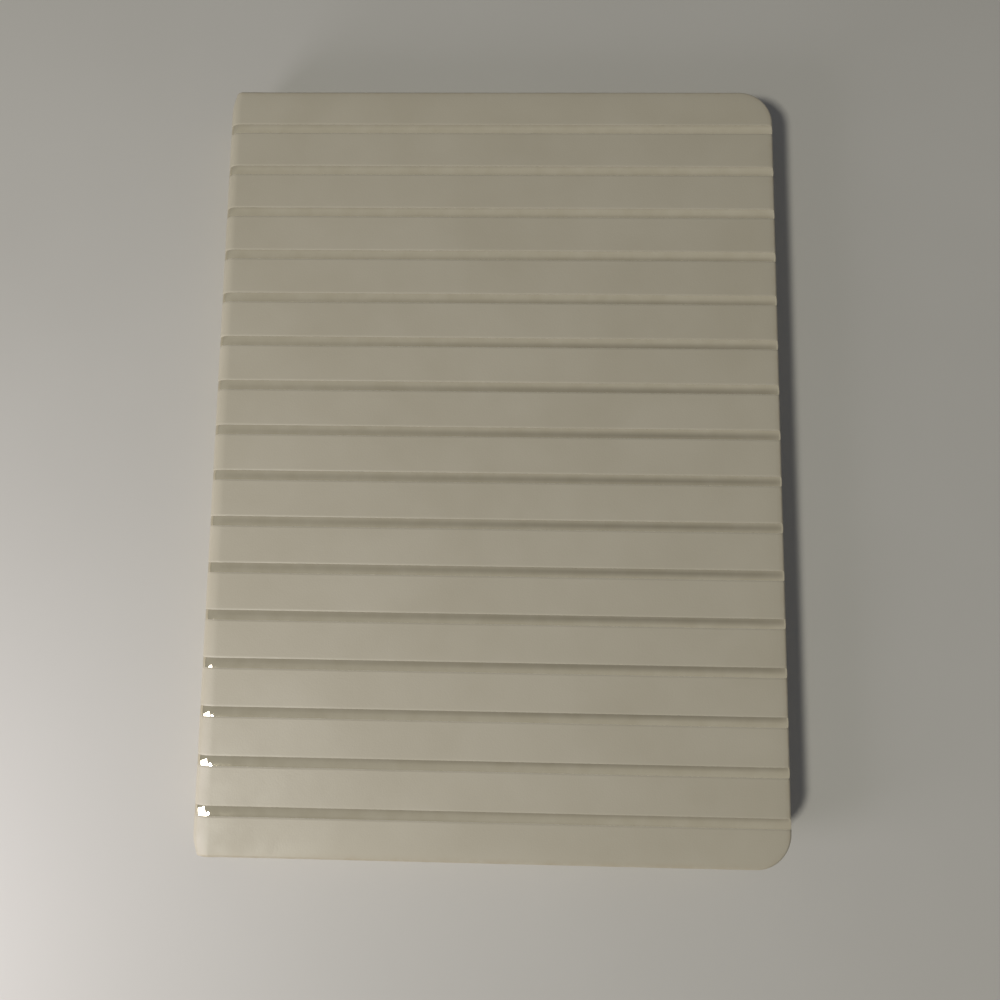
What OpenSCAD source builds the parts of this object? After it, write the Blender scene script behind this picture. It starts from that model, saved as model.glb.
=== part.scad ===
// Lined journal, closed and lying on its back cover.
// X runs from the spine to the fore-edge, Y from the tail to the head, and Z up.
// The origin is at the middle of the footprint, on the surface that it lies on.

/* [Book] */
// Width over the spine and the covers
cover_w = 151; // [110:1:220]
// Height of the covers
cover_h = 204; // [150:1:290]
// Thickness of all the pages together
pages_t = 10; // [8:0.5:30]
// Radius of the covers' corners at the fore-edge
corner_r = 9; // [6:0.5:20]
// How far the covers stand out past the pages
overhang = 3; // [1.5:0.5:4]

/* [Covers] */
// Thickness of the leatherette skin
skin_t = 0.5; // [0.4:0.1:1]
// Thickness of the card board in each cover
board_t = 1; // [0.8:0.1:3]
// Distance from the hinge to the board
board_setback = 1.5; // [1:0.5:8]
// Rounding of the skin where it wraps an edge
edge_r = 0.7; // [0.5:0.1:0.9]
// Width of the skin turned in over the board
turn_in = 12; // [10:0.5:20]

/* [Spine] */
// Thickness of the card in the spine
spine_card_t = 0.6; // [0.4:0.1:1]
// How far the rounded back of the pages bulges
back_round = 3; // [2:0.25:3.5]
// Thickness of the lining glued to the back of the pages
lining_t = 0.4; // [0.2:0.1:0.6]
// Distance from the ends of the pages to the lining
lining_margin = 5; // [2:0.5:15]
// Radius of the bead of the head and tail bands
band_r = 0.8; // [0.5:0.1:1]

/* [Endpapers] */
// Thickness of the endpapers
paper_t = 0.2; // [0.1:0.05:0.4]
// Skin left bare round the paper inside the cover
paper_margin = 3; // [2:0.5:5]

/* [Foil lines] */
// Number of foil lines
line_count = 16; // [4:1:24]
// Distance from the ends of the cover to the middle of the outermost line
line_margin = 11.2; // [8:0.2:16]
// Width of a foil line
line_w = 2.5; // [1:0.1:4]
// Thickness of the foil
foil_t = 0.12; // [0.08:0.01:0.16]
// Depth of the pressed groove that holds the foil
groove_depth = 0.2; // [0.2:0.01:0.3]

/* [Fit] */
// Gap between a cover and the spine at the hinge
joint_gap = 0.3; // [0.2:0.05:1]
// Gap between a closed cover and the pages
closing_gap = 0.1; // [0.05:0.05:0.3]
// Space left for glue round a seated piece
glue_gap = 0.04; // [0.02:0.01:0.05]

/* [Hidden] */
$fn = 96;
overcut = 1; // how far a cutter runs past what it cuts

cover_t = 2 * skin_t + board_t;
spine_t = 2 * skin_t + spine_card_t;
book_t = pages_t + 2 * (cover_t + 2 * paper_t + closing_gap);
wrap_r = min(edge_r, cover_t / 2 - 0.05, spine_t / 2 - 0.05);

spine_r = book_t / 2;
spine_x = spine_r - cover_w / 2;
spine_z = book_t / 2;
fore_x = cover_w / 2;
cover_x = spine_x + joint_gap;
corner_x = fore_x - corner_r;
corner_y = cover_h / 2 - corner_r;

page_h = cover_h - 2 * overhang;
back_r = (pow(pages_t / 2, 2) + pow(back_round, 2)) / (2 * back_round);
back_x = spine_x - back_round + back_r;
band_arc_r = back_r - band_r;
band_angle = asin((pages_t / 2 - band_r) / band_arc_r);

line_pitch = (cover_h - 2 * line_margin) / (line_count - 1);
line_ys = [for (i = [0:line_count - 1]) line_margin + i * line_pitch - cover_h / 2];

cream = [0.87, 0.83, 0.73];
gold = [0.83, 0.68, 0.38];
page_white = [0.95, 0.93, 0.87];
card_grey = [0.62, 0.6, 0.56];
band_cream = [0.9, 0.86, 0.74];
lining_white = [0.86, 0.84, 0.8];

// Places a piece of a cover, drawn with its inner face at z = 0, on top of the book.
module on_front() {
    translate([0, 0, book_t - cover_t]) children();
}

// The same piece turned to the underside of the book.
module on_back() {
    translate([0, 0, cover_t]) mirror([0, 0, 1]) children();
}

// Draws its children at the head, and mirrored at the tail.
module head_and_tail() {
    children();
    mirror([0, 1, 0]) children();
}

// Extrudes a section drawn in X and Z along Y.
module along_y(length) {
    rotate([90, 0, 0]) linear_extrude(length, center = true) children();
}

// Turns a section, drawn as radius and Y, round the spine's axis.
module round_spine() {
    translate([spine_x, 0, spine_z]) rotate([-90, 0, 0]) rotate([0, 0, 90])
        rotate_extrude(angle = 180) children();
}

// The cover's outline set in by inset, from start_x to the fore-edge.
module cover_outline(inset, start_x) {
    tip_r = corner_r - inset;
    translate([start_x, inset - cover_h / 2]) square([corner_x - start_x, cover_h - 2 * inset]);
    translate([corner_x, -corner_y]) square([tip_r, 2 * corner_y]);
    for (side = [-1, 1]) translate([corner_x, side * corner_y]) circle(tip_r);
}

// A slice through a wrapped edge that ends at reach, set in by inset.
module edge_section(reach, inset = 0) {
    tip_r = wrap_r - inset;
    translate([0, inset]) square([reach - wrap_r, cover_t - 2 * inset]);
    translate([reach - wrap_r, wrap_r]) square([tip_r, cover_t - 2 * wrap_r]);
    for (height = [wrap_r, cover_t - wrap_r]) translate([reach - wrap_r, height]) circle(tip_r);
}

// The full form of a cover, with its edges rounded by the skin.
module wrapped_plate() {
    linear_extrude(cover_t) cover_outline(wrap_r, cover_x);
    translate([corner_x, 0, 0]) along_y(2 * corner_y) edge_section(corner_r);
    head_and_tail() {
        translate([cover_x, corner_y, 0]) rotate([90, 0, 90])
            linear_extrude(corner_x - cover_x) edge_section(corner_r);
        translate([corner_x, corner_y, 0]) rotate_extrude(angle = 90) edge_section(corner_r);
    }
}

// The opening that the turned-in skin leaves on the inside of the board.
module turn_in_window(inset, base, height) {
    size_x = fore_x - turn_in - cover_x - inset;
    size_y = cover_h - 2 * (turn_in + inset);
    translate([cover_x - overcut, -size_y / 2, base]) cube([size_x + overcut, size_y, height]);
}

// The side view of a foil line on a cover, between two depths below the skin's surface.
module line_section(outer, inner) {
    reach = fore_x - cover_x;
    difference() {
        edge_section(reach, outer);
        translate([-overcut, 0]) edge_section(reach + overcut, inner);
        translate([-overcut, -overcut]) square([reach + overcut - paper_margin, overcut + wrap_r]);
    }
}

// All foil lines of a cover, as solids or as the grooves for them.
module cover_lines(outer, inner, width) {
    for (y = line_ys) translate([cover_x, y, 0]) along_y(width) line_section(outer, inner);
}

module cover_skin() {
    difference() {
        wrapped_plate();
        translate([0, 0, skin_t]) linear_extrude(board_t) cover_outline(skin_t, cover_x - overcut);
        turn_in_window(0, -overcut, overcut + skin_t + board_t / 2);
        cover_lines(-groove_depth, groove_depth, line_w + 2 * glue_gap);
    }
}

module cover_foil() {
    cover_lines(groove_depth - glue_gap - foil_t, groove_depth - glue_gap, line_w);
}

module board() {
    translate([0, 0, skin_t]) linear_extrude(board_t)
        cover_outline(skin_t + glue_gap, cover_x + board_setback);
}

// The paper pasted inside a cover, stepped down between the turned-in edges.
module pastedown() {
    difference() {
        union() {
            translate([0, 0, -paper_t]) linear_extrude(paper_t) cover_outline(paper_margin, cover_x);
            intersection() {
                turn_in_window(glue_gap, -paper_t, skin_t + paper_t);
                linear_extrude(skin_t) cover_outline(paper_margin, cover_x);
            }
        }
        turn_in_window(glue_gap + paper_t, -paper_t - overcut, overcut + skin_t);
    }
}

module flyleaf() {
    translate([0, 0, -paper_t - closing_gap]) mirror([0, 0, 1]) linear_extrude(paper_t)
        cover_outline(overhang, spine_x);
}

// The form of the spine, as a half tube with rounded and turned-in ends.
module spine_section(inner_r, half_length) {
    wall = spine_r - inner_r;
    translate([inner_r, 0]) square([wall, half_length - wrap_r]);
    translate([inner_r + wrap_r, half_length - wrap_r]) square([wall - 2 * wrap_r, wrap_r]);
    for (r = [inner_r + wrap_r, spine_r - wrap_r]) translate([r, half_length - wrap_r]) circle(wrap_r);
}

module spine_skin() {
    card_r = spine_r - skin_t;
    inner_r = spine_r - spine_t;
    difference() {
        head_and_tail() round_spine() spine_section(inner_r, cover_h / 2);
        round_spine() translate([card_r - spine_card_t, skin_t - cover_h / 2])
            square([spine_card_t, cover_h - 2 * skin_t]);
        round_spine() translate([inner_r - overcut, turn_in - cover_h / 2])
            square([overcut + skin_t + spine_card_t / 2, cover_h - 2 * turn_in]);
        for (y = line_ys) translate([0, y, 0]) round_spine()
            translate([spine_r - groove_depth, -line_w / 2 - glue_gap])
                square([groove_depth + overcut, line_w + 2 * glue_gap]);
    }
}

module spine_foil() {
    for (y = line_ys) translate([0, y, 0]) round_spine()
        translate([spine_r - groove_depth + glue_gap, -line_w / 2]) square([foil_t, line_w]);
}

module card_strip() {
    half_length = cover_h / 2 - skin_t - glue_gap;
    round_spine() translate([spine_r - skin_t - spine_card_t + glue_gap, -half_length])
        square([spine_card_t - 2 * glue_gap, 2 * half_length]);
}

// The side view of the pages, bulged at the back and hollowed as much at the fore-edge.
module page_section() {
    page_x = fore_x - overhang;
    difference() {
        union() {
            translate([spine_x, spine_z - pages_t / 2]) square([page_x - spine_x, pages_t]);
            intersection() {
                translate([back_x, spine_z]) circle(back_r);
                translate([spine_x - back_round - overcut, spine_z - pages_t / 2])
                    square([back_round + overcut + corner_r, pages_t]);
            }
        }
        translate([page_x - back_round + back_r, spine_z]) circle(back_r);
    }
}

module pages() {
    intersection() {
        along_y(page_h) page_section();
        linear_extrude(book_t) cover_outline(overhang, spine_x - spine_r);
    }
}

module lining() {
    inner_r = back_r + glue_gap;
    along_y(page_h - 2 * lining_margin) difference() {
        translate([back_x, spine_z]) circle(inner_r + lining_t);
        translate([back_x, spine_z]) circle(inner_r);
        translate([spine_x, 0]) square([2 * back_r + overcut, book_t]);
    }
}

// A beaded band on the head of the pages, bent round their back.
module end_band() {
    translate([back_x, page_h / 2 + band_r + glue_gap, spine_z])
        rotate([-90, 0, 0]) rotate([0, 0, 180 - band_angle])
            rotate_extrude(angle = 2 * band_angle) translate([band_arc_r, 0]) circle(band_r);
}

module front_cover() { color(cream) on_front() cover_skin(); }
module back_cover() { color(cream) on_back() cover_skin(); }
module spine_cover() { color(cream) spine_skin(); }
module front_lines() { color(gold) on_front() cover_foil(); }
module back_lines() { color(gold) on_back() cover_foil(); }
module spine_lines() { color(gold) spine_foil(); }
module front_board() { color(card_grey) on_front() board(); }
module back_board() { color(card_grey) on_back() board(); }
module spine_card() { color(card_grey) card_strip(); }
module front_pastedown() { color(page_white) on_front() pastedown(); }
module back_pastedown() { color(page_white) on_back() pastedown(); }
module front_flyleaf() { color(page_white) on_front() flyleaf(); }
module back_flyleaf() { color(page_white) on_back() flyleaf(); }
module page_block() { color(page_white) pages(); }
module spine_lining() { color(lining_white) lining(); }
module head_band() { color(band_cream) end_band(); }
module tail_band() { color(band_cream) mirror([0, 1, 0]) end_band(); }

front_cover();
back_cover();
spine_cover();
front_lines();
back_lines();
spine_lines();
front_board();
back_board();
spine_card();
front_pastedown();
back_pastedown();
front_flyleaf();
back_flyleaf();
page_block();
spine_lining();
head_band();
tail_band();
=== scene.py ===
"""A closed lined journal on a pale table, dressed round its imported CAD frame.

Lengths are in millimetres until a mesh, lamp or camera is made.
"""

import functools
import math
import random

import bmesh
import bpy
from mathutils import Matrix, Vector, noise


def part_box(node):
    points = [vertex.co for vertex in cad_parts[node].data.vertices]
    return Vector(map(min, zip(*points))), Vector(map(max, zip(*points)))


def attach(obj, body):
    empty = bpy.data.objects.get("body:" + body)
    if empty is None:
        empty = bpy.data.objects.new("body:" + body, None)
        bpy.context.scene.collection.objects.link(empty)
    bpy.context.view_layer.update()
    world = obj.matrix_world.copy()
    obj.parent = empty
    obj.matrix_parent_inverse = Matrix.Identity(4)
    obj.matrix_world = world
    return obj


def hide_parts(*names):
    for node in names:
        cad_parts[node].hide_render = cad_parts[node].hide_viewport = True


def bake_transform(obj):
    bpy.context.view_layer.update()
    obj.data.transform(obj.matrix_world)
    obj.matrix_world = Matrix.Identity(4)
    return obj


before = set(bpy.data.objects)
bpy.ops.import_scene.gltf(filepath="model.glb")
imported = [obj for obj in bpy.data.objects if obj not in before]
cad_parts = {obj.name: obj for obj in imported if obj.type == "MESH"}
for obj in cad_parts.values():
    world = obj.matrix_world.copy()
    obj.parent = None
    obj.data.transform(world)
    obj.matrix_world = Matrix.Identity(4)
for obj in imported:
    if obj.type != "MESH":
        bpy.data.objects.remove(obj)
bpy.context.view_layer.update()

MM = 0.001
# Points of a mesh that lie closer than this, in metres, become one
MERGE = 1e-7
# Faces that meet at more than this angle show a sharp edge
SHARP_FROM = math.radians(40)


def node_box(node):
    """Lowest and highest corner of a CAD node, in millimetres."""
    low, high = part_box(node)
    return low / MM, high / MM


# Sizes read from the frame
front_low, front_high = node_box("front_cover")
spine_low, spine_high = node_box("spine_cover")
lines_low, lines_high = node_box("front_lines")
pages_low, pages_high = node_box("page_block")
leaf_low, leaf_high = node_box("front_flyleaf")
paste_low, paste_high = node_box("front_pastedown")
band_low, band_high = node_box("head_band")

BOOK_T = front_high.z
MID_Z = BOOK_T / 2
COVER_T = front_high.z - front_low.z
HALF_H = front_high.y
FORE_X = front_high.x
SPINE_X = spine_high.x
BACK_X = spine_low.x
PAGES_T = pages_high.z - pages_low.z
PAGES_X = pages_high.x
PAGES_H = pages_high.y
PAPER_T = leaf_high.z - leaf_low.z
BACK_ROUND = SPINE_X - pages_low.x
BAND_R = (band_high.y - band_low.y) / 2

# Foil lines: domed ribbons on the floors of pressed troughs that have soft shoulders
LINE_COUNT = 16
LINE_W = 2.5
LINE_PITCH = (lines_high.y - lines_low.y - LINE_W) / (LINE_COUNT - 1)
LINE_YS = [lines_low.y + LINE_W / 2 + LINE_PITCH * k for k in range(LINE_COUNT)]
TROUGH = 0.08
SHOULDER = 0.35
FOIL_T = 0.02
FOIL_LIFT = 0.005
FOIL_DOME = 0.088

# Where the skin has points across a line's shoulder, as shares of the shoulder's width, and
# between two lines, as shares of their pitch
SHOULDER_SHARES = (0.0, 0.5, 1.0, 1.4)
PITCH_SHARES = (0.35, 0.5, 0.65)

# Covers: the skin wraps a rounded edge, rolls off a little beside it, and turns in over the
# board. Its face has faint waves, except in a calm strip beside the spine.
SKIN_T = 0.3
CORNER_R = 9.0
CORNER_X = FORE_X - CORNER_R
CORNER_Y = HALF_H - CORNER_R
TURN_IN = 12.0
WRAP_R = 0.8
ROLL_W = 5.0
ROLL_DROP = 0.1
WAVE = 0.05
WAVE_SIZE = 38.0
WAVES_APART = 100.0
CALM_W = 12.0

# Spine: the skin eases out of the covers, bends sharply and bulges at the back. It is drawn
# in a little towards the tail, and sinks at its two ends.
SPINE_T = 1.6
EASE_LEAN = math.radians(25)
EASE_R_HEAD = 3.5
EASE_R_TAIL = 7.5
BEND_LEAN = math.radians(60)
BEND_R = 3.0
TAIL_DRAW = 1.1
HEADCAP_DROP = 0.8
CARD_T = 0.6
CARD_MARGIN = 5.5

# The hinge strip beside the spine, where the skin's points lie close together
JOINT_W = 1.8

# The mirrored room's dark patch, where the viewer stands over the book. A direction is
# squeezed and shifted by these, and its length then gives the shade.
DARK_SQUEEZE = (0.45, 1.0, 0.0)
DARK_SHIFT = (-0.09, -0.08, 0.0)

# Endpapers, with a ridge where they cover the turned-in skin, and leaves that stray a little
PAPER_MARGIN = FORE_X - paste_high.x
PAPER_CORNER = CORNER_R - PAPER_MARGIN
RIDGE_W = 1.2
RIDGE_DROP = 0.45
SHEET_T = 0.8 * PAPER_T
LEAF_T = 0.125
LEAF_STRAY = 0.07
STRAY_SIZE = 9.0
STRAY_VARIES = 0.4
STRAY_SEED = 5
LAYERS_APART = 3

# Sewn bands at the ends of the pages
RIBS = 24
RIB_DEPTH = 0.14

# How many points each curve or span is given
ROUND_POINTS = 13
FACE_POINTS = 30
ROLL_POINTS = 9
TURN_IN_POINTS = 6
SPINE_FLAT_POINTS = 4
SPINE_ARC_POINTS = 9
FOIL_POINTS = 7
PAPER_POINTS = 24
HALF_PAPER_POINTS = 10
RIDGE_POINTS = 6
PAPER_CORNER_POINTS = 10
LEAF_POINTS = 25
RIB_STEPS = 6
BAND_POINTS = 15

# Noise mostly lies between these two values
NOISE_LOW = 0.35
NOISE_HIGH = 0.65

# Colours, each as the darker and the lighter shade that it varies between
CREAM = ((0.485, 0.44, 0.345), (0.515, 0.47, 0.375))
# Brown for the covers' wrapped edges: partly rubbed wear, partly painted shade where the edge turns
# under
EDGE_WEAR_AND_SHADE_BROWN = (0.43, 0.36, 0.25)
PALE_GOLD = ((0.79, 0.71, 0.53), (0.84, 0.76, 0.58))
ENDPAPER = ((0.77, 0.73, 0.63), (0.82, 0.78, 0.69))
LEAF_EDGES_AND_GAP_SHADE = ((0.66, 0.61, 0.5), (0.85, 0.81, 0.71))
GREY_BOARD = ((0.3, 0.28, 0.25), (0.42, 0.4, 0.36))
OPEN_CLOTH = ((0.5, 0.46, 0.38), (0.78, 0.75, 0.67))
CREAM_THREAD = ((0.66, 0.6, 0.46), (0.8, 0.74, 0.6))
GOLD_THREAD = ((0.42, 0.3, 0.12), (0.6, 0.45, 0.22))
TABLE_TOP = ((0.555, 0.535, 0.5), (0.57, 0.55, 0.515))

# The table's grid of points, by their distance from its middle
TABLE_REACHES = (300, 900, 2500)

# The even light on everything, and the room's shade by the distance from its dark patch
AMBIENT = (0.105, 0.11, 0.12)
ROOM_SHADES = (
    (0.0, (0.225, 0.222, 0.216)),
    (0.12, (0.275, 0.273, 0.266)),
    (0.3, (0.365, 0.364, 0.358)),
    (0.5, (0.385, 0.385, 0.38)),
    (0.65, (0.335, 0.335, 0.332)),
    (0.85, (0.315, 0.315, 0.315)),
)

# The photograph's view, with its turns in degrees and its nearest distance in metres
SENSOR_W = 36.0
LENS = 27.04
CLIP_START = 0.01
CAMERA_PLACE = (7.2, -34.1, 208.2)
CAMERA_TURNS = (("X", 6.58), ("Y", 1.35), ("Z", 0.76))


def smooth(t):
    """Eases from 0 to 1 as t goes from 0 to 1."""
    t = min(max(t, 0.0), 1.0)
    return t * t * (3 - 2 * t)


def spread(first, last, count):
    """Even steps from first to last, both included."""
    return [first + (last - first) * k / (count - 1) for k in range(count)]


def line_dip(y):
    """How far the pressed troughs lower the skin at y."""
    nearest = min(abs(y - line_y) for line_y in LINE_YS)
    return TROUGH * (1 - smooth((nearest - LINE_W / 2) / SHOULDER))


def foil_lift(y, line_y):
    """How far the foil stands above its trough's floor, domed between its pressed edges."""
    across = 2 * (y - line_y) / LINE_W
    return FOIL_LIFT + FOIL_DOME * (1 - across * across)


def ripple(x, y, side):
    """A slight unevenness of the board and skin, always inwards, and none at the spine."""
    uneven = 0.5 + 0.5 * noise.noise(Vector((x, y, WAVES_APART * side)) / WAVE_SIZE)
    return WAVE * uneven * smooth((x - SPINE_X) / CALM_W)


def across_lines(first, last):
    """Places along Y that follow the troughs' floors and shoulders, with flat skin close beside."""
    places = [first, last]
    for y in LINE_YS:
        for share in SHOULDER_SHARES:
            reach = LINE_W / 2 + share * SHOULDER
            places += [y - reach, y + reach]
        places += [y] + [y + LINE_PITCH * share for share in PITCH_SHARES]
    return sorted(y for y in set(places) if first <= y <= last)


def along_cover():
    """Places along X on a cover, close together at the hinge."""
    joint = spread(SPINE_X, SPINE_X + JOINT_W, ROUND_POINTS)
    face = spread(SPINE_X + 3 * JOINT_W, CORNER_X, FACE_POINTS)
    return joint + face


def cover_thickness(x):
    """No board reaches into the joint, so the cover thins towards the spine."""
    return SPINE_T + (COVER_T - SPINE_T) * smooth((x - SPINE_X) / (2 * JOINT_W))


def rim_steps(thickness, drop):
    """The way round a wrapped edge, as (inset, depth below the face, lean of the surface)."""
    steps = []
    for inset in spread(CORNER_R, WRAP_R, ROLL_POINTS)[:-1]:
        roll = max(0.0, (ROLL_W - inset) / (ROLL_W - WRAP_R))
        steps.append((inset, drop * roll * roll, 0.0))
    half = (thickness - drop) / 2
    for lean in spread(0.0, math.pi, ROUND_POINTS):
        steps.append((WRAP_R * (1 - math.sin(lean)), drop + half * (1 - math.cos(lean)), lean))
    for inset in spread(WRAP_R, TURN_IN, TURN_IN_POINTS)[1:]:
        steps.append((inset, thickness, math.pi))
    return steps


def rim_path():
    """The covers' outline as (x, y, outward x, outward y), from the spine round the fore-edge."""
    xs = along_cover()
    path = [(x, -HALF_H, 0.0, -1.0) for x in xs]
    for angle in spread(-math.pi / 2, 0.0, ROUND_POINTS)[1:-1]:
        path.append(corner_edge(angle, -1))
    path += [(FORE_X, y, 1.0, 0.0) for y in across_lines(-CORNER_Y, CORNER_Y)]
    for angle in spread(0.0, math.pi / 2, ROUND_POINTS)[1:-1]:
        path.append(corner_edge(angle, 1))
    path += [(x, HALF_H, 0.0, 1.0) for x in reversed(xs)]
    return path


def corner_edge(angle, end):
    """A point of the rounded corner at the tail, end -1, or the head, end 1."""
    out_x, out_y = math.cos(angle), math.sin(angle)
    return (CORNER_X + CORNER_R * out_x, end * CORNER_Y + CORNER_R * out_y, out_x, out_y)


def cover_point(x, y, depth, side):
    """A point below the front cover's face, or with side -1 above the back cover's."""
    return Vector((x, y, MID_Z + side * (MID_Z - depth)))


def face_point(x, y, side, lift=0.0):
    """A point on a cover's flat face, or that much above it."""
    return cover_point(x, y, line_dip(y) + ripple(x, y, side) - lift, side)


def rim_point(edge, step, side, lift=0.0):
    """A point on the wrapped edge of a cover, or that much above it."""
    x, y, out_x, out_y = edge
    inset, depth, lean = step
    sink = ripple(x - out_x * inset, y - out_y * inset, side) - lift
    if lean < math.pi or inset <= PAPER_MARGIN:
        sink += line_dip(y)
    inset += sink * math.sin(lean)
    depth += sink * math.cos(lean)
    x -= out_x * inset
    y -= out_y * inset
    if inset > CORNER_R:
        x = min(x, FORE_X - inset)
        y = max(inset - HALF_H, min(y, HALF_H - inset))
    return cover_point(x, y, depth, side)


@functools.lru_cache(maxsize=None)
def spine_curve(y):
    """The spine's outline at y as (x, z, lean), from the front joint round to the back joint."""
    to_tail = 0.5 - 0.5 * y / HALF_H
    ease_r = EASE_R_HEAD + (EASE_R_TAIL - EASE_R_HEAD) * to_tail
    eased = ease_r * (1 - math.cos(EASE_LEAN))
    bent = BEND_R * (math.cos(EASE_LEAN) - math.cos(BEND_LEAN))
    bulge_r = (MID_Z - eased - bent) / math.cos(BEND_LEAN)
    arcs = (
        (ease_r, 0.0, EASE_LEAN),
        (BEND_R, EASE_LEAN, BEND_LEAN),
        (bulge_r, BEND_LEAN, math.pi / 2),
    )
    width = sum(radius * (math.sin(last) - math.sin(first)) for radius, first, last in arcs)
    x = BACK_X + TAIL_DRAW * to_tail + width
    z = BOOK_T
    curve = [(place, z, 0.0) for place in spread(SPINE_X, x, SPINE_FLAT_POINTS)[:-1]]
    for radius, first, last in arcs:
        centre_x = x + radius * math.sin(first)
        centre_z = z - radius * math.cos(first)
        for lean in spread(first, last, SPINE_ARC_POINTS)[:-1]:
            curve.append((centre_x - radius * math.sin(lean), centre_z + radius * math.cos(lean), lean))
        x = centre_x - radius * math.sin(last)
        z = centre_z + radius * math.cos(last)
    lower = [(place, BOOK_T - height, math.pi - lean) for place, height, lean in reversed(curve)]
    return curve + [(x, z, math.pi / 2)] + lower


SPINE_STEPS = range(len(spine_curve(0.0)))


def spine_point(step, y, depth):
    """A point below the spine's outer face, at a step of its outline."""
    x, z, lean = spine_curve(y)[step]
    return Vector((x + depth * math.sin(lean), y, z - depth * math.cos(lean)))


def grid_faces(rows):
    """Quads between rows of equally many vertices."""
    for row, next_row in zip(rows, rows[1:]):
        for k in range(len(row) - 1):
            yield row[k], next_row[k], next_row[k + 1], row[k + 1]


def add_rows(mesh, rows):
    """Adds a sheet of quads through rows of points and returns its rows of vertices."""
    made = [[mesh.verts.new(point * MM) for point in row] for row in rows]
    for corners in grid_faces(made):
        mesh.faces.new(corners)
    return made


def capped_tube(rows):
    """A closed mesh through rings of points that end where they start, with both ends filled."""
    mesh = bmesh.new()
    rings = add_rows(mesh, rows)
    mesh.faces.new(rings[0][:-1])
    mesh.faces.new(list(reversed(rings[-1][:-1])))
    bmesh.ops.remove_doubles(mesh, verts=mesh.verts, dist=MERGE)
    bmesh.ops.recalc_face_normals(mesh, faces=mesh.faces)
    return mesh


def finish_mesh(mesh, name, material, turned=False, sharp_from=SHARP_FROM):
    """Makes a smooth-shaded object from a bmesh, turned inside out where it is mirrored."""
    bmesh.ops.remove_doubles(mesh, verts=mesh.verts, dist=MERGE)
    bmesh.ops.dissolve_degenerate(mesh, dist=MERGE, edges=mesh.edges)
    if turned:
        bmesh.ops.reverse_faces(mesh, faces=mesh.faces)
    data = bpy.data.meshes.new(name)
    mesh.to_mesh(data)
    mesh.free()
    data.shade_smooth()
    data.set_sharp_from_angle(angle=sharp_from)
    data.materials.append(material)
    made = bpy.data.objects.new(name, data)
    bpy.context.scene.collection.objects.link(made)
    return made


def thicken(piece, thickness, offset):
    """Gives a sheet its thickness, from its face inwards at offset -1 or both ways at 0."""
    solidify = piece.modifiers.new("thickness", "SOLIDIFY")
    solidify.thickness = thickness * MM
    solidify.offset = offset
    solidify.use_quality_normals = True
    graph = bpy.context.evaluated_depsgraph_get()
    data = bpy.data.meshes.new_from_object(piece.evaluated_get(graph))
    piece.modifiers.clear()
    piece.data = data
    data.set_sharp_from_angle(angle=SHARP_FROM)


def mark_rims(piece):
    """Stores how near each point lies to the book's outer edges, for the wear and the painted shade
    along the skin's edges.
    """
    wear = piece.data.attributes.new("rim", "FLOAT", "POINT")
    for k, vertex in enumerate(piece.data.vertices):
        x, y, _ = vertex.co / MM
        inset = min(FORE_X - x, HALF_H - abs(y))
        past_corner = Vector((x - CORNER_X, abs(y) - CORNER_Y))
        if min(past_corner) > 0:
            inset = CORNER_R - past_corner.length
        wear.data[k].value = smooth(1 - inset / (2 * WRAP_R))


def cover_skin(name, node, side, material):
    """The skin of a cover: its face, the wrapped edge, and the part turned in over the board."""
    mesh = bmesh.new()
    ys = across_lines(-CORNER_Y, CORNER_Y)
    add_rows(mesh, [[face_point(x, y, side) for x in along_cover()] for y in reversed(ys)])
    rows = []
    for edge in rim_path():
        steps = rim_steps(cover_thickness(edge[0]), ROLL_DROP)
        rows.append([rim_point(edge, step, side) for step in steps])
    add_rows(mesh, list(reversed(rows)))
    piece = finish_mesh(mesh, name, material, turned=side < 0)
    thicken(piece, SKIN_T, -1)
    mark_rims(piece)
    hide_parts(node)
    return piece


def cover_foil(name, node, side, material):
    """The foil lines of a cover, from the spine over the face and round the fore-edge."""
    mesh = bmesh.new()
    for line_y in LINE_YS:
        rows = []
        for y in spread(line_y + LINE_W / 2, line_y - LINE_W / 2, FOIL_POINTS):
            lift = foil_lift(y, line_y)
            row = [face_point(x, y, side, lift) for x in along_cover()[:-1]]
            for step in rim_steps(COVER_T, ROLL_DROP):
                inset, _, lean = step
                if lean < math.pi or inset <= PAPER_MARGIN:
                    row.append(rim_point((FORE_X, y, 1.0, 0.0), step, side, lift))
            rows.append(row)
        add_rows(mesh, rows)
    piece = finish_mesh(mesh, name, material, turned=side < 0)
    thicken(piece, FOIL_T, -1)
    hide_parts(node)
    return piece


def spine_skin(material):
    """The skin over the spine, drawn in at the head and the tail and turned in there."""
    mesh = bmesh.new()
    rows = []
    for step in SPINE_STEPS:
        lean = spine_curve(0.0)[step][2]
        ends = rim_steps(SPINE_T, ROLL_DROP + HEADCAP_DROP * math.sin(lean))
        row = [spine_point(step, inset - HALF_H, depth) for inset, depth, _ in reversed(ends)]
        row += [spine_point(step, y, line_dip(y)) for y in across_lines(-CORNER_Y, CORNER_Y)[1:-1]]
        row += [spine_point(step, HALF_H - inset, depth) for inset, depth, _ in ends]
        rows.append(row)
    add_rows(mesh, rows)
    piece = finish_mesh(mesh, "spine_skin", material, turned=True)
    thicken(piece, SKIN_T, -1)
    mark_rims(piece)
    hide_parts("spine_cover")
    return piece


def spine_foil(material):
    """The foil lines where they run round the spine."""
    mesh = bmesh.new()
    for line_y in LINE_YS:
        ys = spread(line_y - LINE_W / 2, line_y + LINE_W / 2, FOIL_POINTS)
        depths = [TROUGH - foil_lift(y, line_y) for y in ys]
        rows = [[spine_point(step, y, depth) for y, depth in zip(ys, depths)] for step in SPINE_STEPS]
        add_rows(mesh, rows)
    piece = finish_mesh(mesh, "spine_foil", material, turned=True)
    thicken(piece, FOIL_T, -1)
    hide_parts("spine_lines")
    return piece


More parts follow.
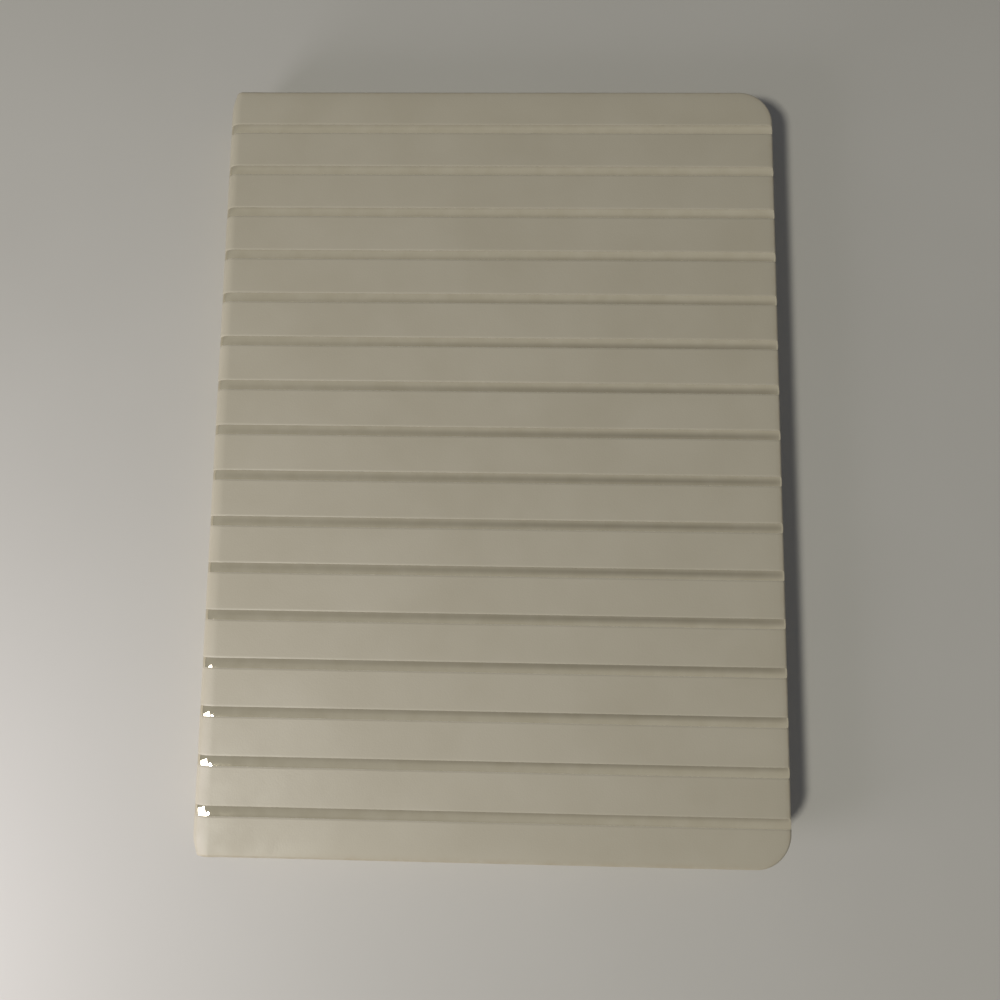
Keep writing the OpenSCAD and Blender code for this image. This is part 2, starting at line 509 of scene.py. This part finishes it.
def card_strip(material):
    """The card inside the spine, under the skin."""
    ys = spread(CARD_MARGIN - HALF_H, HALF_H - CARD_MARGIN, FACE_POINTS)
    depth = SKIN_T + TROUGH
    mesh = bmesh.new()
    add_rows(mesh, [[spine_point(step, y, depth) for y in ys] for step in SPINE_STEPS[1:-1]])
    piece = finish_mesh(mesh, "spine_strip", material, turned=True)
    thicken(piece, CARD_T, -1)
    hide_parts("spine_card")
    return piece


def paper_half(x):
    """Half the height of an endpaper at x, less at its rounded corners."""
    past = max(0.0, x - CORNER_X)
    return CORNER_Y + math.sqrt(max(0.0, PAPER_CORNER ** 2 - past ** 2))


def pasted_dip(x, y):
    """How far the pasted paper sinks between the turned-in edges of the skin."""
    inside = min(FORE_X - TURN_IN - x, HALF_H - TURN_IN - abs(y))
    return RIDGE_DROP * smooth(inside / RIDGE_W)


def to_ridge(first, ridge, count):
    """Places from first to the ridge over the turned-in skin, close together on its slope."""
    return spread(first, ridge - 2 * RIDGE_W, count) + spread(ridge - RIDGE_W, ridge, RIDGE_POINTS)


def endpaper(name, nodes, side, material):
    """One folded sheet: a flyleaf on the pages, the fold, and the half pasted in the cover."""
    xs = to_ridge(SPINE_X, FORE_X - TURN_IN, PAPER_POINTS) + [CORNER_X]
    for angle in spread(0.0, math.pi / 2, PAPER_CORNER_POINTS)[1:]:
        xs.append(CORNER_X + PAPER_CORNER * math.sin(angle))
    ys = to_ridge(0.0, HALF_H - TURN_IN, HALF_PAPER_POINTS) + [CORNER_Y, PAGES_H]
    shares = [-y / PAGES_H for y in reversed(ys[1:])] + [y / PAGES_H for y in ys]
    leaf_depth = BOOK_T - (leaf_low.z + leaf_high.z) / 2
    paste_depth = BOOK_T - paste_low.z - PAPER_T / 2
    rows = []
    for x in reversed(xs):
        rows.append([cover_point(x, share * paper_half(x), leaf_depth, side) for share in shares])
    for depth in spread(leaf_depth, paste_depth, FACE_POINTS)[1:-1]:
        rows.append([cover_point(SPINE_X, share * PAGES_H, depth, side) for share in shares])
    for x in xs:
        row = []
        for share in shares:
            y = share * paper_half(x)
            sunk = pasted_dip(x, y) * smooth((x - SPINE_X) / JOINT_W)
            row.append(cover_point(x, y, paste_depth - sunk, side))
        rows.append(row)
    mesh = bmesh.new()
    add_rows(mesh, rows)
    piece = finish_mesh(mesh, name, material, turned=side < 0)
    thicken(piece, SHEET_T, 0)
    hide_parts(*nodes)
    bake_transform(piece)


def back_radius():
    """Radius of the rounded back of the pages, and of the hollow at their fore-edge."""
    return ((PAGES_T / 2) ** 2 + BACK_ROUND ** 2) / (2 * BACK_ROUND)


def back_bulge(z):
    """How far the pages stand out at the back at height z, and as far in at the fore-edge."""
    radius = back_radius()
    return math.sqrt(radius ** 2 - (z - MID_Z) ** 2) - radius + BACK_ROUND


def leaf_outline(bulge):
    """A leaf's outline as (x, y, outward x, outward y), from the tail's back to the head's."""
    outline = []
    for end in (-1, 1):
        half = [(x, end * PAGES_H, 0.0, end) for x in spread(SPINE_X - bulge, CORNER_X, LEAF_POINTS)]
        for angle in spread(math.pi / 2, 0.0, PAPER_CORNER_POINTS)[1:]:
            x, y, out_x, out_y = corner_edge(end * angle, end)
            half.append((x - out_x * PAPER_MARGIN, y - out_y * PAPER_MARGIN, out_x, out_y))
        outline += half if end < 0 else list(reversed(half))
    return outline


def page_block(material):
    """All the leaves as one block, each layer strayed a little at its edges."""
    chance = random.Random(STRAY_SEED)
    levels = int(round(PAGES_T / LEAF_T))
    rows = []
    for z in spread(pages_low.z, pages_high.z, levels + 1):
        stray = LEAF_STRAY * chance.random() if 0 < len(rows) < levels else 0.0
        bulge = back_bulge(z)
        points = []
        for x, y, out_x, out_y in leaf_outline(bulge):
            place = Vector((x, y, LAYERS_APART * z)) / STRAY_SIZE
            uneven = stray * (1 - STRAY_VARIES + STRAY_VARIES * noise.noise(place))
            points.append(Vector((min(x, PAGES_X - bulge) - out_x * uneven, y - out_y * uneven, z)))
        rows.append(points + [points[0]])
    piece = finish_mesh(capped_tube(rows), "pages", material)
    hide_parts("page_block")
    return piece


def end_band(name, node, end, materials):
    """A sewn band on the end of the pages: ribs of thread in two colours over a core."""
    radius = back_radius() - BAND_R
    centre_x = pages_low.x + back_radius()
    centre_y = end * (band_low.y + band_high.y) / 2
    reach = math.asin((band_high.z - band_low.z - 2 * BAND_R) / (2 * radius))
    rows = []
    for k in range(RIBS * RIB_STEPS + 1):
        angle = reach * (2 * k / (RIBS * RIB_STEPS) - 1)
        rib = abs(math.sin(math.pi * k / RIB_STEPS))
        thick = BAND_R * (1 - RIB_DEPTH + RIB_DEPTH * rib)
        row = []
        for turn in spread(0.0, 2 * math.pi, BAND_POINTS):
            out = radius + thick * math.cos(turn)
            x = centre_x - out * math.cos(angle)
            row.append(Vector((x, centre_y + thick * math.sin(turn), MID_Z + out * math.sin(angle))))
        rows.append(row)
    piece = finish_mesh(capped_tube(rows), name, materials[0], sharp_from=2 * SHARP_FROM)
    piece.data.materials.append(materials[1])
    for face in piece.data.polygons:
        spot = face.center / MM
        angle = math.atan2(spot.z - MID_Z, centre_x - spot.x)
        rib = int((angle / reach + 1) * RIBS / 2)
        face.material_index = (rib // 2) % 2
    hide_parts(node)
    return piece


class Nodes:
    """Short calls for building one material's node tree."""

    # Distance between the bands of a wave texture at a scale of 1
    BAND_PITCH = 0.314

    def __init__(self, name, roughness, metallic=0.0):
        self.material = bpy.data.materials.new(name)
        self.material.use_nodes = True
        self.tree = self.material.node_tree
        self.shader = self.tree.nodes["Principled BSDF"]
        self.shader.inputs["Roughness"].default_value = roughness
        self.shader.inputs["Metallic"].default_value = metallic
        self.place = self.tree.nodes.new("ShaderNodeTexCoord").outputs["Object"]

    def link(self, source, target):
        """Joins an output to an input."""
        self.tree.links.new(source, target)

    def noise(self, size, detail=3.0, squeeze=(1, 1, 1)):
        """Noise with features about that many millimetres across."""
        texture = self.tree.nodes.new("ShaderNodeTexNoise")
        texture.inputs["Scale"].default_value = 1 / (size * MM)
        texture.inputs["Detail"].default_value = detail
        mapping = self.tree.nodes.new("ShaderNodeMapping")
        mapping.inputs["Scale"].default_value = squeeze
        self.link(self.place, mapping.inputs["Vector"])
        self.link(mapping.outputs["Vector"], texture.inputs["Vector"])
        return texture.outputs["Fac"]

    def cells(self, size):
        """Distance to the nearest cell centre, for the pores of a grain."""
        texture = self.tree.nodes.new("ShaderNodeTexVoronoi")
        texture.inputs["Scale"].default_value = 1 / (size * MM)
        self.link(self.place, texture.inputs["Vector"])
        return texture.outputs["Distance"]

    def bands(self, size, direction):
        """Even bands across one axis."""
        texture = self.tree.nodes.new("ShaderNodeTexWave")
        texture.bands_direction = direction
        texture.inputs["Scale"].default_value = self.BAND_PITCH / (size * MM)
        texture.inputs["Distortion"].default_value = 0.4
        self.link(self.place, texture.inputs["Vector"])
        return texture.outputs["Fac"]

    def number(self, value, low, high):
        """Maps the usual range of noise onto a number from low to high."""
        made = self.tree.nodes.new("ShaderNodeMapRange")
        limits = {"From Min": NOISE_LOW, "From Max": NOISE_HIGH, "To Min": low, "To Max": high}
        for socket, limit in limits.items():
            made.inputs[socket].default_value = limit
        self.link(value, made.inputs["Value"])
        return made.outputs["Result"]

    def colour(self, value, shades, start=NOISE_LOW, end=NOISE_HIGH):
        """Maps a value between start and end onto a colour between two shades."""
        ramp = self.tree.nodes.new("ShaderNodeValToRGB")
        for element, place, shade in zip(ramp.color_ramp.elements, (start, end), shades):
            element.position = place
            element.color = (*shade, 1)
        self.link(value, ramp.inputs["Fac"])
        return ramp.outputs["Color"]

    def tint(self, amount, under, shade):
        """Blends a colour towards a plain shade by a value."""
        mix = self.tree.nodes.new("ShaderNodeMix")
        mix.data_type = "RGBA"
        first, second = [socket for socket in mix.inputs if socket.type == "RGBA"]
        self.link(amount, mix.inputs["Factor"])
        self.link(under, first)
        second.default_value = (*shade, 1)
        return next(socket for socket in mix.outputs if socket.type == "RGBA")

    def times(self, first, second):
        """Multiplies two values."""
        maths = self.tree.nodes.new("ShaderNodeMath")
        maths.operation = "MULTIPLY"
        self.link(first, maths.inputs[0])
        self.link(second, maths.inputs[1])
        return maths.outputs["Value"]

    def attribute(self, name):
        """A value stored in the mesh's points."""
        made = self.tree.nodes.new("ShaderNodeAttribute")
        made.attribute_name = name
        return made.outputs["Fac"]

    def bump(self, height, depth, strength=1.0, under=None):
        """Surface relief of that many millimetres, laid over another bump."""
        made = self.tree.nodes.new("ShaderNodeBump")
        made.inputs["Strength"].default_value = strength
        made.inputs["Distance"].default_value = depth * MM
        self.link(height, made.inputs["Height"])
        if under is not None:
            self.link(under, made.inputs["Normal"])
        return made.outputs["Normal"]

    def finish(self, colour, roughness, normal):
        """Links what the shader takes from the tree and returns the material."""
        self.link(colour, self.shader.inputs["Base Color"])
        self.link(roughness, self.shader.inputs["Roughness"])
        self.link(normal, self.shader.inputs["Normal"])
        return self.material


def skin_material():
    """Cream leatherette with a fine grain, a little mottled, and browned along its edges, partly by
    rubbed wear and partly by painted shade.
    """
    made = Nodes("cream_leatherette", roughness=0.45)
    made.shader.inputs["Specular IOR Level"].default_value = 0.4
    mottled = made.colour(made.noise(size=22, detail=4), CREAM)
    rub_and_shade = made.number(made.noise(size=2.5, detail=5), 0.1, 0.6)
    # Browns the wrapped edges in patches: partly rubbed wear, partly painted shade where the edge turns
    # under
    worn_and_shaded = made.tint(made.times(made.attribute("rim"), rub_and_shade), mottled, EDGE_WEAR_AND_SHADE_BROWN)
    roughness = made.number(made.noise(size=6, detail=4), 0.4, 0.52)
    soft = made.bump(made.noise(size=3.5), depth=0.02)
    grain = made.bump(made.cells(size=0.45), depth=0.02, strength=0.5, under=soft)
    return made.finish(worn_and_shaded, roughness, grain)


def foil_material():
    """Pale gold stamping foil, nearly a mirror, with a faint unevenness from the skin under it."""
    made = Nodes("gold_foil", roughness=0.06, metallic=1.0)
    tone = made.colour(made.noise(size=5, detail=4), PALE_GOLD)
    roughness = made.number(made.noise(size=2.5, detail=4), 0.03, 0.055)
    grain = made.bump(made.noise(size=1.2), depth=0.001)
    return made.finish(tone, roughness, grain)


def endpaper_material():
    """Smooth uncoated paper with short fibres."""
    made = Nodes("endpaper", roughness=0.7)
    tone = made.colour(made.noise(size=14, detail=5), ENDPAPER)
    roughness = made.number(made.noise(size=3), 0.62, 0.78)
    fibres = made.bump(made.noise(size=0.5, detail=5, squeeze=(1, 0.35, 1)), depth=0.012)
    return made.finish(tone, roughness, fibres)


def pages_material():
    """Leaf edges: fine streaks along the sheets, their darker parts painted shade between the leaves.
    """
    made = Nodes("page_edges", roughness=0.75)
    streak = made.noise(size=2.2, squeeze=(0.12, 0.12, 14))
    # The darker streaks are painted shade in the gaps between the leaves
    tone = made.colour(streak, LEAF_EDGES_AND_GAP_SHADE, start=0.3, end=0.6)
    return made.finish(tone, made.number(streak, 0.85, 0.65), made.bump(streak, depth=0.05))


def board_material():
    """Grey card with a mottled pulp."""
    made = Nodes("grey_board", roughness=0.85)
    tone = made.colour(made.noise(size=1.2, detail=6), GREY_BOARD)
    roughness = made.number(made.noise(size=3), 0.8, 0.92)
    pulp = made.bump(made.noise(size=0.4, detail=5), depth=0.03)
    return made.finish(tone, roughness, pulp)


def lining_material():
    """Open-weave cloth glued to the back of the pages."""
    made = Nodes("spine_mull", roughness=0.9)
    weave = made.times(made.bands(0.9, "Y"), made.bands(0.9, "Z"))
    tone = made.colour(weave, OPEN_CLOTH, start=0.1, end=0.7)
    return made.finish(tone, made.number(weave, 0.95, 0.8), made.bump(weave, depth=0.08))


def thread_material(name, shades):
    """Twisted thread, its strands running round the band."""
    made = Nodes(name, roughness=0.6)
    made.shader.inputs["Sheen Weight"].default_value = 0.3
    strands = made.noise(size=0.25, squeeze=(1, 0.25, 1))
    tone = made.colour(strands, shades)
    return made.finish(tone, made.number(strands, 0.7, 0.5), made.bump(strands, depth=0.03))


def floor_material():
    """A pale, matt table top, slightly uneven in tone and gloss."""
    made = Nodes("pale_table", roughness=0.6)
    tone = made.colour(made.noise(size=60, detail=5), TABLE_TOP)
    roughness = made.number(made.noise(size=120, detail=4), 0.66, 0.72)
    grain = made.bump(made.noise(size=1.5, detail=4), depth=0.01)
    return made.finish(tone, roughness, grain)


def make_floor():
    """A pale table top that reaches far past the view, finer near the book."""
    mesh = bmesh.new()
    places = [-reach for reach in reversed(TABLE_REACHES)] + [0, *TABLE_REACHES]
    add_rows(mesh, [[Vector((x, y, 0)) for y in places] for x in places])
    floor = finish_mesh(mesh, "table_top", floor_material())


def make_lamp(name, place, aim, size, power, colour):
    """A rectangular soft lamp, aimed at a point, with its second side upright."""
    data = bpy.data.lights.new(name, "AREA")
    data.shape = "RECTANGLE"
    data.size, data.size_y = size[0] * MM, size[1] * MM
    data.energy = power
    data.color = colour
    lamp = bpy.data.objects.new(name, data)
    lamp.location = Vector(place) * MM
    lamp.rotation_mode = "QUATERNION"
    lamp.rotation_quaternion = (Vector(aim) - Vector(place)).to_track_quat("-Z", "Y")
    bpy.context.scene.collection.objects.link(lamp)


def make_world():
    """An even ambient light, and a plain room that is seen and mirrored, darkest overhead."""
    world = bpy.data.worlds.new("room")
    world.use_nodes = True
    bpy.context.scene.world = world
    nodes, links = world.node_tree.nodes, world.node_tree.links
    place = nodes.new("ShaderNodeTexCoord")
    aside = nodes.new("ShaderNodeMapping")
    aside.inputs["Location"].default_value = DARK_SHIFT
    aside.inputs["Scale"].default_value = DARK_SQUEEZE
    away = nodes.new("ShaderNodeVectorMath")
    away.operation = "LENGTH"
    ramp = nodes.new("ShaderNodeValToRGB")
    elements = ramp.color_ramp.elements
    for reach, _ in ROOM_SHADES[2:]:
        elements.new(reach)
    for element, (reach, shade) in zip(elements, ROOM_SHADES):
        element.position = reach
        element.color = (*shade, 1)
    room = nodes.new("ShaderNodeBackground")
    links.new(place.outputs["Generated"], aside.inputs["Vector"])
    links.new(aside.outputs["Vector"], away.inputs[0])
    links.new(away.outputs["Value"], ramp.inputs["Fac"])
    links.new(ramp.outputs["Color"], room.inputs["Color"])
    path = nodes.new("ShaderNodeLightPath")
    shown = path.outputs["Is Camera Ray"]
    for ray in ("Is Glossy Ray", "Is Transmission Ray"):
        either = nodes.new("ShaderNodeMath")
        either.operation = "MAXIMUM"
        links.new(shown, either.inputs[0])
        links.new(path.outputs[ray], either.inputs[1])
        shown = either.outputs["Value"]
    light = nodes["Background"]
    light.inputs["Color"].default_value = (*AMBIENT, 1)
    both = nodes.new("ShaderNodeMixShader")
    links.new(shown, both.inputs["Fac"])
    links.new(light.outputs["Background"], both.inputs[1])
    links.new(room.outputs["Background"], both.inputs[2])
    links.new(both.outputs["Shader"], nodes["World Output"].inputs["Surface"])


def make_camera():
    """The photograph's view: nearly straight down, a little below the book's middle."""
    data = bpy.data.cameras.new("view")
    data.sensor_width = SENSOR_W
    data.lens = LENS
    data.clip_start = CLIP_START
    camera = bpy.data.objects.new("view", data)
    turn = Matrix.Identity(4)
    for axis, degrees in CAMERA_TURNS:
        turn = turn @ Matrix.Rotation(math.radians(degrees), 4, axis)
    camera.matrix_world = Matrix.Translation(Vector(CAMERA_PLACE) * MM) @ turn
    bpy.context.scene.collection.objects.link(camera)
    bpy.context.scene.camera = camera


skin = skin_material()
foil = foil_material()
paper = endpaper_material()
board = board_material()
for body, side in (("front", 1), ("back", -1)):
    dressed = [
        cover_skin(f"{body}_skin", f"{body}_cover", side, skin),
        cover_foil(f"{body}_foil", f"{body}_lines", side, foil),
    ]
    for piece in dressed:
        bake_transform(piece)
    endpaper(f"{body}_endpaper", (f"{body}_flyleaf", f"{body}_pastedown"), side, paper)

threads = (
    thread_material("cream_thread", CREAM_THREAD),
    thread_material("gold_thread", GOLD_THREAD),
)
for piece in (
    spine_skin(skin),
    spine_foil(foil),
    card_strip(board),
    page_block(pages_material()),
    end_band("head_thread_band", "head_band", 1, threads),
    end_band("tail_thread_band", "tail_band", -1, threads),
):
    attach(piece, "block")

cad_finishes = {"front_board": board, "back_board": board, "spine_lining": lining_material()}
for node, material in cad_finishes.items():
    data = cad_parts[node].data
    data.materials.clear()
    data.materials.append(material)

make_floor()
make_world()
make_lamp(
    "key",
    place=(-910, -796, 1508),
    aim=(0, 0, BOOK_T),
    size=(220, 220),
    power=18.4,
    colour=(1.0, 0.985, 0.88),
)
make_lamp(
    "low_window",
    place=(-261, -180, 138),
    aim=(0, -40, 0),
    size=(120, 160),
    power=0.42,
    colour=(0.95, 0.92, 1.0),
)
make_camera()

scene = bpy.context.scene
scene.view_settings.view_transform = "Standard"
